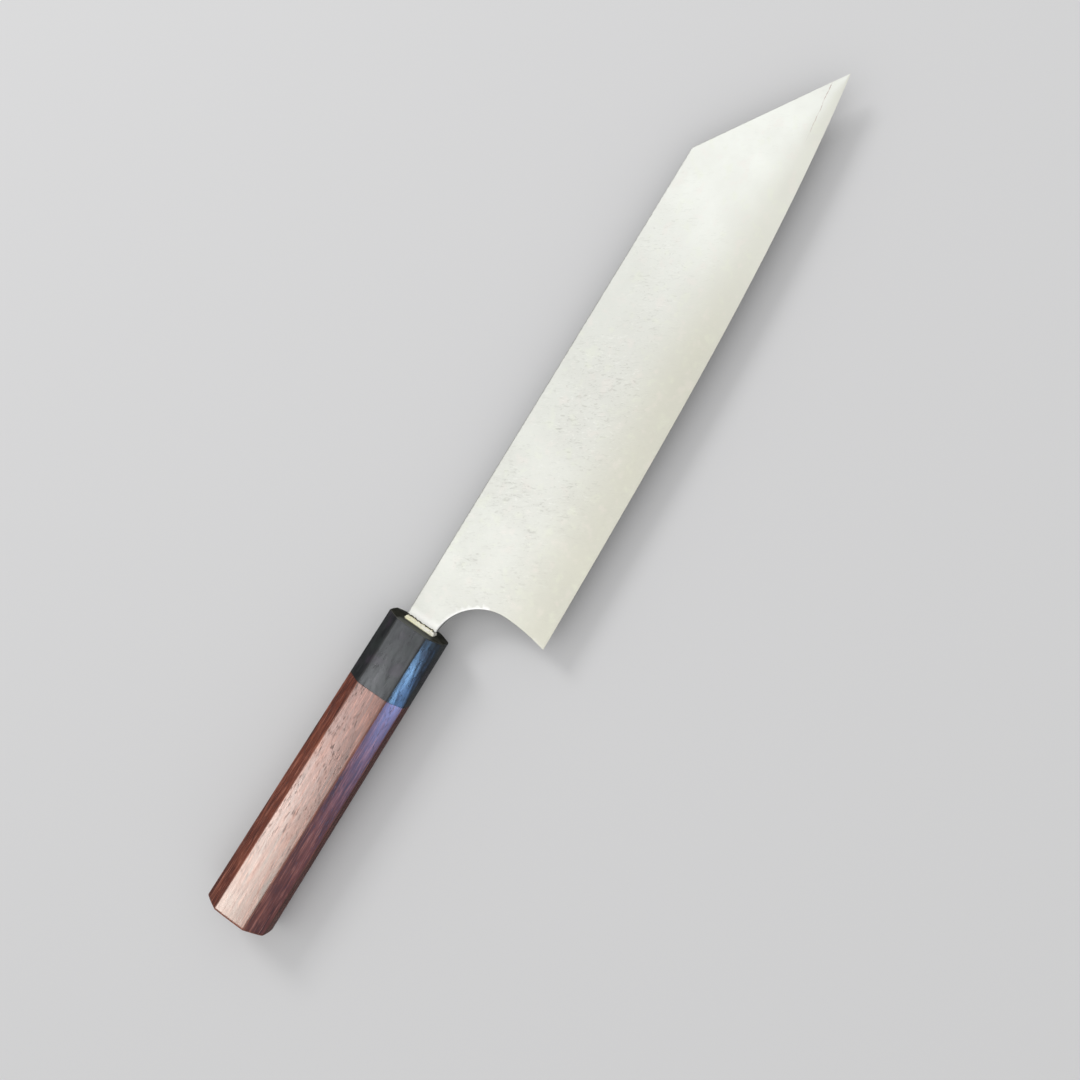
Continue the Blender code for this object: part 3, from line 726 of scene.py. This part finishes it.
def layer_outline():
    """The outline of an outer layer as (x, y, kind): free and choil rims are rounded, the others are not."""
    spine = spine_points()
    corner = corner_points(spine[-1])
    line = bare_line_points()
    start, end = corner[-1][0], line[-1][0]
    clip = [start + (end - start) * i / CLIP_STEPS for i in range(1, CLIP_STEPS)]
    choil = [point for point in choil_points() if point[1] > line[0][1]]
    upper = TANG_Y + TANG_HALF_HEIGHT
    lower = TANG_Y - TANG_HALF_HEIGHT
    end_half = TANG_END_HEIGHT / 2
    outline = [(TANG_END_X, TANG_Y + end_half, "hidden"), (SHOULDER_X, upper, "hidden")]
    outline.append((*spine[0], "hidden"))
    outline += [(x, y, "free") for x, y in spine[1:] + corner]
    outline += [(x, clip_y(x), "free") for x in clip]
    outline += [(x, y, "line") for x, y in reversed(line)]
    outline += [(x, y, "choil") for x, y in choil[:-1]]
    outline.append((*choil[-1], "hidden"))
    outline += [(SHOULDER_X, lower, "hidden"), (TANG_END_X, TANG_Y - end_half, "hidden")]
    return outline


def outer_half_thickness(x, y):
    """Half the blade's thickness at a point: thinner towards the edge and towards the tip."""
    if x <= SHOULDER_X:
        return STOCK_HALF
    foot = edge_y(x) + BARE_CORE_HEIGHT
    along = (x - SHOULDER_X) / (CORNER_X - SHOULDER_X)
    spine_half = STOCK_HALF + (CORNER_THICKNESS / 2 - STOCK_HALF) * along
    up = max((y - foot) / (spine_y(x) - foot), 0.0)
    ground = CORE_HALF + (spine_half - CORE_HALF) * up
    neck = smooth_step(x / SHOULDER_X)
    return ground + (STOCK_HALF - ground) * neck


def face_half_thickness(x, y):
    """As outer_half_thickness, with a face that curves into the slope of the bare edge."""
    half = outer_half_thickness(x, y)
    if x <= SHOULDER_X:
        return half
    foot = edge_y(x) + BARE_CORE_HEIGHT
    height = y - foot
    if height <= 0:
        return half
    edge_slope = (CORE_HALF - HONED_THICKNESS / 2) / (BARE_CORE_HEIGHT - HONED_HEIGHT)
    slope = (outer_half_thickness(x, foot + SLOPE_SPAN) - CORE_HALF) / SLOPE_SPAN
    neck = 1 - smooth_step(x / SHOULDER_X)
    room = min(1.0, max(spine_y(x) - y, 0.0) / SPINE_ROOM)
    return half + max(edge_slope - slope, 0.0) * neck * room * height * math.exp(-height / GRIND_FADE)


def inward_normals(outline):
    normals = []
    count = len(outline)
    for i in range(count):
        before = Vector(outline[i - 1][:2])
        after = Vector(outline[(i + 1) % count][:2])
        along = (after - before).normalized()
        normals.append(Vector((along.y, -along.x)))
    return normals


def face_grid(outline):
    """Evenly spread points inside an outline, none nearer to it along Y than FACE_MARGIN."""
    points = []
    xs = [x for x, _ in outline]
    columns = int((max(xs) - SHOULDER_X) / FACE_STEP)
    for column in range(1, columns):
        x = SHOULDER_X + FACE_STEP * column + NUDGE
        ys = []
        for i, (x1, y1) in enumerate(outline):
            x0, y0 = outline[i - 1]
            if (x0 - x) * (x1 - x) < 0:
                ys.append(y0 + (y1 - y0) * (x - x0) / (x1 - x0))
        ys.sort()
        for low, high in zip(ys[::2], ys[1::2]):
            low += FACE_MARGIN
            high -= FACE_MARGIN
            rows = int((high - low) / FACE_STEP)
            points += [(x, low + (high - low) * row / rows) for row in range(rows + 1) if rows > 0]
    return points


def write_blade_attributes(bm):
    """For the materials: height above the fine line, share of the blade's height, and the polished rim,
    where the steel carries a painted highlight.
    """
    above = bm.verts.layers.float.new("above_edge")
    across = bm.verts.layers.float.new("across")
    rim = bm.verts.layers.float.new("rim")
    polished = [Vector(point) for point in choil_points()]
    for vert in bm.verts:
        x, y = vert.co.x, vert.co.y
        top = clip_y(x) if x > CORNER_X else spine_y(x)
        height = y - edge_y(x)
        vert[above] = height - BARE_CORE_HEIGHT
        vert[across] = min(max(height / max(top - edge_y(x), LEAST_HEIGHT), 0.0), 1.0)
        if SHOULDER_X - NUDGE < x < POLISH_END_X:
            nearest = min((vert.co.xy - point).length for point in polished)
            vert[rim] = min(max((POLISH_REACH - nearest) / POLISH_FADE, 0.0), 1.0)


def make_cladding(name, side, material):
    """An outer layer of the blade with rounded rims. side is RIGHT or LEFT."""
    outline = layer_outline()
    normals = inward_normals(outline)
    bm = bmesh.new()
    loops = [[bm.verts.new((x, y, side * CORE_HALF)) for x, y, _ in outline]]
    flat_loops = []
    for step in range(RIM_STEPS + 2):
        angle = min(math.pi / 2 * step / RIM_STEPS, math.pi / 2)
        flat = []
        heights = []
        for (x, y, kind), normal in zip(outline, normals):
            outer = CORE_HALF if kind == "line" else face_half_thickness(x, y)
            most = {"free": SPINE_CHAMFER, "choil": CHOIL_ROUND}.get(kind, 0.0)
            radius = min(most, ROUND_SHARE * (outer - CORE_HALF))
            inset = radius * (1 - math.cos(angle))
            if step > RIM_STEPS:
                inset = RIM_INSET * radius
            point = (x + inset * normal.x, y + inset * normal.y)
            height = outer if radius == 0 else face_half_thickness(*point)
            flat.append(point)
            heights.append(side * (height - radius * (1 - math.sin(angle))))
        flat_loops.append(flat)
        if step <= RIM_STEPS:
            loops.append([bm.verts.new((*point, height)) for point, height in zip(flat, heights)])
    border = loops.pop()
    flat = [Vector(point) for point in flat_loops[RIM_STEPS]]
    flat += [Vector(point) for point, kind in zip(flat_loops[-1], outline) if kind[2] in ("free", "choil")]
    flat += [Vector(point) for point in face_grid(flat_loops[-1])]
    around = [list(range(len(border)))]
    placed, _, triangles, *_ = geometry.delaunay_2d_cdt(flat, [], around, INSIDE_OUTLINE, TRIANGLE_TOLERANCE)
    face_verts = list(border)
    for point in placed[len(border) :]:
        face_verts.append(bm.verts.new((point.x, point.y, side * face_half_thickness(point.x, point.y))))
    for triangle in triangles:
        bm.faces.new([face_verts[i] for i in triangle])
    bm.faces.new(loops[0])
    count = len(outline)
    for one, two in zip(loops, loops[1:] + [border]):
        for i in range(count):
            j = (i + 1) % count
            bm.faces.new([one[i], one[j], two[j], two[i]])
    bmesh.ops.remove_doubles(bm, verts=bm.verts, dist=MERGE_DISTANCE)
    loose = [vert for vert in bm.verts if not vert.link_faces]
    bmesh.ops.delete(bm, geom=loose, context="VERTS")
    write_blade_attributes(bm)
    return new_object(name, bm, material)


def make_core(name, material):
    """The middle layer: flat between the outer layers, tapered to the edge below them, and on as tang."""
    outline = layer_outline()
    line = bare_line_points()
    edge_xs = [EDGE_LENGTH * i / EDGE_STEPS for i in range(EDGE_STEPS + 1)]
    edge = [(x, edge_y(x)) for x in edge_xs]
    share = HONED_HEIGHT / BARE_CORE_HEIGHT
    first = next(i for i, point in enumerate(outline) if point[2] == "line")
    last = first + len(line) - 1
    bm = bmesh.new()
    sides = []
    for side in (RIGHT, LEFT):
        loop = [bm.verts.new((x, y, side * CORE_HALF)) for x, y, _ in outline]
        line_verts = loop[first : last + 1][::-1]
        honed = []
        lowest = []
        for (line_x, line_y), (x, y) in zip(line, edge):
            at = (x + (line_x - x) * share, y + (line_y - y) * share)
            honed.append(bm.verts.new((*at, side * HONED_THICKNESS / 2)))
            lowest.append(bm.verts.new((x, y, side * EDGE_THICKNESS / 2)))
        bm.faces.new(loop)
        for upper, lower in ((line_verts, honed), (honed, lowest)):
            for i in range(EDGE_STEPS):
                bm.faces.new([upper[i], upper[i + 1], lower[i + 1], lower[i]])
        for row in (line_verts, honed, lowest):
            for one, two in zip(row, row[1:]):
                bm.edges.get((one, two)).smooth = False
        sides.append((loop, line_verts, honed, lowest))
    (loop, line_verts, honed, lowest), (under_loop, under_line, under_honed, under_lowest) = sides
    count = len(outline)
    for i in range(count):
        j = (i + 1) % count
        if not first <= i < last:
            bm.faces.new([loop[i], loop[j], under_loop[j], under_loop[i]])
            bm.edges.get((loop[i], loop[j])).smooth = False
            bm.edges.get((under_loop[i], under_loop[j])).smooth = False
    for i in range(EDGE_STEPS):
        bm.faces.new([lowest[i], lowest[i + 1], under_lowest[i + 1], under_lowest[i]])
    for end in (0, -1):
        rim = [line_verts[end], honed[end], lowest[end]]
        face = bm.faces.new([*rim, under_lowest[end], under_honed[end], under_line[end]])
        for edge_of_rim in face.edges:
            edge_of_rim.smooth = False
    write_blade_attributes(bm)
    return new_object(name, bm, material)


# Handle


def octagon_corners(height, width, corner_cut, inset):
    half_y = height / 2 - inset
    half_z = width / 2 - inset
    corner = corner_cut - inset * (2 - math.sqrt(2))
    inner_y = half_y - corner
    inner_z = half_z - corner
    quarter = [(half_y, inner_z), (inner_y, half_z)]
    corners = quarter + [(-y, z) for y, z in reversed(quarter)]
    return corners + [(-y, -z) for y, z in quarter] + [(y, -z) for y, z in reversed(quarter)]


def handle_section(x, inset):
    """The handle's octagon at x as (point, rim): rounded corners, with rim up to 1, and crowned facets."""
    front = FERRULE_FRONT_X - FERRULE_CHAMFER
    back = BUTT_X + BUTT_CHAMFER
    share = min(max((front - x) / (front - back), 0.0), 1.0)
    height = FRONT_HEIGHT + (BUTT_HEIGHT - FRONT_HEIGHT) * share
    width = FRONT_WIDTH + (BUTT_WIDTH - FRONT_WIDTH) * share
    corner_cut = FRONT_CORNER_CUT + (BUTT_CORNER_CUT - FRONT_CORNER_CUT) * share
    corners = [Vector(point) for point in octagon_corners(height, width, corner_cut, inset + FACET_CROWN)]
    rounding = FACET_ROUND * (1 - inset / ROUND_FADE)
    points = []
    for i, here in enumerate(corners):
        following = corners[(i + 1) % len(corners)]
        start = here + (corners[i - 1] - here).normalized() * rounding
        end = here + (following - here).normalized() * rounding
        for step in range(ROUND_STEPS + 1):
            t = step / ROUND_STEPS
            point = start * (1 - t) ** 2 + here * 2 * t * (1 - t) + end * t**2
            points.append((point, math.sin(math.pi * t)))
        along = following + (here - following).normalized() * rounding - end
        outward = Vector((along.y, -along.x)).normalized() * FACET_CROWN
        if outward.dot(here) < 0:
            outward.negate()
        for t in FACET_SHARES:
            points.append((end + along * t + outward * 4 * t * (1 - t), 0.0))
    return [(Vector((x, AXIS_Y + point.x, point.y)), rim) for point, rim in points]


def loft(name, sections, material):
    """A closed solid through sections of (point, rim) that all have as many points."""
    bm = bmesh.new()
    rim_layer = bm.verts.layers.float.new("rim")
    loops = []
    for section in sections:
        loop = []
        for point, rim in section:
            vert = bm.verts.new(point)
            vert[rim_layer] = rim
            loop.append(vert)
        loops.append(loop)
    for one, two in zip(loops, loops[1:]):
        for i in range(len(one)):
            j = (i + 1) % len(one)
            bm.faces.new([one[i], one[j], two[j], two[i]])
    bm.faces.new(loops[0])
    bm.faces.new(loops[-1])
    return new_object(name, bm, material)


def box(name, low, high, material):
    """A cutter between two corners."""
    sections = []
    for x in (low[0], high[0]):
        corners = ((low[1], low[2]), (high[1], low[2]), (high[1], high[2]), (low[1], high[2]))
        sections.append([((x, y, z), 0.0) for y, z in corners])
    return loft(name, sections, material)


def round_cutter(name, back_x, front_x, material):
    sections = []
    for x in (back_x, front_x):
        turns = [2 * math.pi * i / BORE_SIDES for i in range(BORE_SIDES)]
        ring = [(x, AXIS_Y + BORE_RADIUS * math.cos(turn), BORE_RADIUS * math.sin(turn)) for turn in turns]
        sections.append([(point, 0.0) for point in ring])
    return loft(name, sections, material)


def tang_cutter(name, front_x, back_x, material):
    sections = []
    for x in (front_x, back_x):
        share = (SHOULDER_X - x) / TANG_LENGTH
        half = TANG_HALF_HEIGHT + (TANG_END_HEIGHT / 2 - TANG_HALF_HEIGHT) * share + TANG_CLEARANCE
        corners = ((-half, -STOCK_HALF), (half, -STOCK_HALF), (half, STOCK_HALF), (-half, STOCK_HALF))
        sections.append([((x, TANG_Y + y, z), 0.0) for y, z in corners])
    return loft(name, sections, material)


def seal_setback(y, z):
    """How far the front of the seal lies back at a point: coarse dips with fine ones on them."""
    levels = []
    for scale_y, scale_z, depth in (COARSE_DIPS, FINE_DIPS):
        levels.append(noise.noise(Vector((y * scale_y, z * scale_z, depth))))
    coarse, fine = levels
    return SEAL_UNEVEN * max(0.3 + coarse, 0.0) + SEAL_UNEVEN * (0.5 + 0.5 * fine)


def make_seal(name, material):
    """The filler in the ferrule's slot: its front is hand-shaped, with rounded and slightly uneven edges."""
    sections = []
    for step in range(SEAL_STEPS + 1):
        y = -NECK_HEIGHT * step / SEAL_STEPS
        from_end = min(-y, NECK_HEIGHT + y)
        drop = max(SEAL_CORNER_RADIUS - from_end, 0.0)
        front = SEAL_FRONT_X - SEAL_CORNER_RADIUS + math.sqrt(SEAL_CORNER_RADIUS**2 - drop**2)
        section = [(SEAL_BACK_X, y, -SEAL_HALF_WIDTH)]
        for side in (LEFT, RIGHT):
            for i in range(ROUND_STEPS + 1):
                angle = math.pi / 2 * i / ROUND_STEPS
                reach, rise = math.sin(angle), math.cos(angle)
                if side == RIGHT:
                    reach, rise = rise, reach
                z = side * (SEAL_HALF_WIDTH - SEAL_ROUND + SEAL_ROUND * rise)
                x = front - SEAL_ROUND + SEAL_ROUND * reach - seal_setback(y, z)
                section.append((x, y, z))
        section.append((SEAL_BACK_X, y, SEAL_HALF_WIDTH))
        sections.append([(point, 0.0) for point in section])
    seal = loft(name, sections, material)
    cut(seal, tang_cutter("tang_hole", SEAL_FRONT_X + CUT_OVERRUN, SEAL_BACK_X - CUT_OVERRUN, material))
    return seal


def rounded_end(x, radius, direction):
    """Sections that round the end of the handle at x. direction is 1 at the front and -1 at the butt."""
    sections = []
    for step in range(ROUND_STEPS + 1):
        angle = math.pi / 2 * step / ROUND_STEPS
        back = radius * (1 - math.cos(angle))
        inset = radius * (1 - math.sin(angle))
        section = handle_section(x - direction * back, inset)
        sections.append([(point, max(rim, math.sin(2 * angle))) for point, rim in section])
    return sections if direction == 1 else sections[::-1]


def straight_sections(front_x, back_x, count):
    return [handle_section(front_x + (back_x - front_x) * i / count, 0) for i in range(count + 1)]


def make_ferrule(name, material, end_material):
    """The horn collar: slot in front for the seal, bore behind for the dowel, and a matt front face."""
    front = rounded_end(FERRULE_FRONT_X, FERRULE_CHAMFER, 1)
    start_x = FERRULE_FRONT_X - FERRULE_START * FERRULE_CHAMFER
    sides = straight_sections(start_x, JOINT_X + JOINT_EASE, FERRULE_SECTIONS)
    ferrule = loft(name, front + sides + [handle_section(JOINT_X, JOINT_EASE)], material)
    low = (SEAL_BACK_X, -NECK_HEIGHT, -SEAL_HALF_WIDTH)
    high = (FERRULE_FRONT_X + CUT_OVERRUN, 0, SEAL_HALF_WIDTH)
    cut(ferrule, box("ferrule_slot", low, high, material))
    cut(ferrule, round_cutter("ferrule_bore", JOINT_X - CUT_OVERRUN, SEAL_BACK_X, material))
    ferrule.data.materials.append(end_material)
    front_x = FERRULE_FRONT_X - MATT_SHARE * FERRULE_CHAMFER + PLACE.x
    for face in ferrule.data.polygons:
        if face.center.x > front_x:
            face.material_index = len(ferrule.data.materials) - 1
    return ferrule


def make_grip(name, material):
    """The wooden grip, bored for the dowel and slotted behind it for the end of the bedded tang."""
    butt = rounded_end(BUTT_X, BUTT_CHAMFER, -1)
    sides = straight_sections(JOINT_X - JOINT_EASE, BUTT_X + GRIP_END * BUTT_CHAMFER, GRIP_SECTIONS)
    grip = loft(name, [handle_section(JOINT_X, JOINT_EASE)] + sides + butt, material)
    low = (BEDDING_BACK_X, TANG_Y - SLOT_HALF_HEIGHT, -SLOT_HALF_WIDTH)
    high = (DOWEL_BACK_X + CUT_OVERRUN, TANG_Y + SLOT_HALF_HEIGHT, SLOT_HALF_WIDTH)
    cut(grip, round_cutter("grip_bore", DOWEL_BACK_X, JOINT_X + CUT_OVERRUN, material))
    cut(grip, box("grip_slot", low, high, material))
    return grip


# Floor, lights and camera


def make_floor():
    """A pale disc, which shows darker in reflections."""
    bm = bmesh.new()
    bmesh.ops.create_circle(bm, cap_ends=True, segments=FLOOR_SIDES, radius=FLOOR_RADIUS)
    mesh = bpy.data.meshes.new("floor")
    bm.to_mesh(mesh)
    bm.free()
    material = bpy.data.materials.new("pale_floor")
    material.use_nodes = True
    tree = material.node_tree
    shader = tree.nodes["Principled BSDF"]
    shader.inputs["Roughness"].default_value = FLOOR_ROUGHNESS
    ray = tree.nodes.new("ShaderNodeLightPath")
    mix = tree.nodes.new("ShaderNodeMix")
    mix.data_type = "RGBA"
    share, direct, reflected = COLOR_MIX_INPUTS
    mix.inputs[direct].default_value = (*FLOOR_COLOR, 1.0)
    mix.inputs[reflected].default_value = (*FLOOR_COLOR_IN_GLOSS, 1.0)
    tree.links.new(ray.outputs["Is Glossy Ray"], mix.inputs[share])
    tree.links.new(mix.outputs[COLOR_MIX_OUTPUT], shader.inputs["Base Color"])
    mesh.materials.append(material)
    floor = bpy.data.objects.new("floor", mesh)
    bpy.context.scene.collection.objects.link(floor)


def make_world():
    """A pale dome that is brighter overhead. The camera sees it evenly pale."""
    world = bpy.data.worlds.new("studio")
    world.use_nodes = True
    tree = world.node_tree
    background = tree.nodes["Background"]
    background.inputs["Color"].default_value = (*WHITE, 1.0)
    direction = tree.nodes.new("ShaderNodeSeparateXYZ")
    coordinates = tree.nodes.new("ShaderNodeTexCoord")
    tree.links.new(coordinates.outputs["Generated"], direction.inputs[0])
    level = tree.nodes.new("ShaderNodeMapRange")
    level.inputs["To Min"].default_value = DOME_AT_HORIZON
    level.inputs["To Max"].default_value = DOME_OVERHEAD
    tree.links.new(direction.outputs["Z"], level.inputs["Value"])
    ray = tree.nodes.new("ShaderNodeLightPath")
    mix = tree.nodes.new("ShaderNodeMix")
    share, as_light, as_backdrop = NUMBER_MIX_INPUTS
    mix.inputs[as_backdrop].default_value = DOME_SEEN_BY_CAMERA
    tree.links.new(ray.outputs["Is Camera Ray"], mix.inputs[share])
    tree.links.new(level.outputs[0], mix.inputs[as_light])
    tree.links.new(mix.outputs[0], background.inputs["Strength"])
    bpy.context.scene.world = world


def area_light(name, place, target, size, level, color):
    """A rectangular soft lamp that faces the target. level is the brightness of its surface."""
    light = bpy.data.lights.new(name, "AREA")
    light.shape = "RECTANGLE"
    light.size, light.size_y = size
    light.energy = level * math.pi * size[0] * size[1]
    light.color = color
    obj = bpy.data.objects.new(name, light)
    bpy.context.scene.collection.objects.link(obj)
    obj.location = place
    direction = Vector(target) - Vector(place)
    obj.rotation_euler = direction.to_track_quat("-Z", "Y").to_euler()
    obj.visible_camera = False
    return obj


def flag_off(light, pieces, state):
    """Like a flagged studio lamp, it lights these pieces alone (INCLUDE), or all but them (EXCLUDE)."""
    flagged = bpy.data.collections.new(light.name + "_flag")
    for piece in pieces:
        flagged.objects.link(piece)
    for piece in flagged.collection_objects:
        piece.light_linking.link_state = state
    light.light_linking.receiver_collection = flagged


def make_camera():
    data = bpy.data.cameras.new("camera")
    data.lens = CAMERA_LENS
    data.sensor_width = CAMERA_SENSOR
    camera = bpy.data.objects.new("camera", data)
    bpy.context.scene.collection.objects.link(camera)
    back = Vector(CAMERA_BACK).normalized()
    right = Vector(CAMERA_UP).cross(back).normalized()
    up = back.cross(right)
    turn = Matrix((right, up, back)).transposed().to_4x4()
    camera.matrix_world = Matrix.Translation(CAMERA_PLACE) @ turn
    bpy.context.scene.camera = camera


# The knife

steel = steel_material("blasted_cladding_look", False)
blade = (
    make_core("core_layer", steel_material("bare_core_look", True)),
    make_cladding("right_layer", RIGHT, steel),
    make_cladding("left_layer", LEFT, steel),
)
dress(blade[0], "blade_core")
dress(blade[1], "blade_cladding_right", BLADE_SHARP_ANGLE)
dress(blade[2], "blade_cladding_left", BLADE_SHARP_ANGLE)
seal = make_seal("cream_seal", seal_material())
dress(seal, "tang_seal", SEAL_SHARP_ANGLE)
ferrule = make_ferrule("horn_ferrule", horn_material(), horn_end_material())
dress(ferrule, "ferrule", HANDLE_SHARP_ANGLE)
grip = make_grip("rosewood_grip", rosewood_material())
dress(grip, "handle_body", HANDLE_SHARP_ANGLE)
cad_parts["handle_dowel"].data.materials[0] = dowel_material()
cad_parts["tang_bedding"].data.materials[0] = bedding_material()

# The studio

make_floor()
make_world()
flag_off(area_light("key", KEY_PLACE, ORIGIN, KEY_SIZE, KEY_LEVEL, WHITE), blade, "EXCLUDE")
for lamps, pieces in ((STEEL_LAMPS, (*blade, seal)), (GRIP_LAMPS, (grip,)), (FERRULE_LAMPS, (ferrule,))):
    for name, (place, target, size, level, color) in lamps.items():
        flag_off(area_light(name, place, target, size, level, color), pieces, "INCLUDE")
make_camera()
bpy.context.scene.view_settings.view_transform = "Standard"
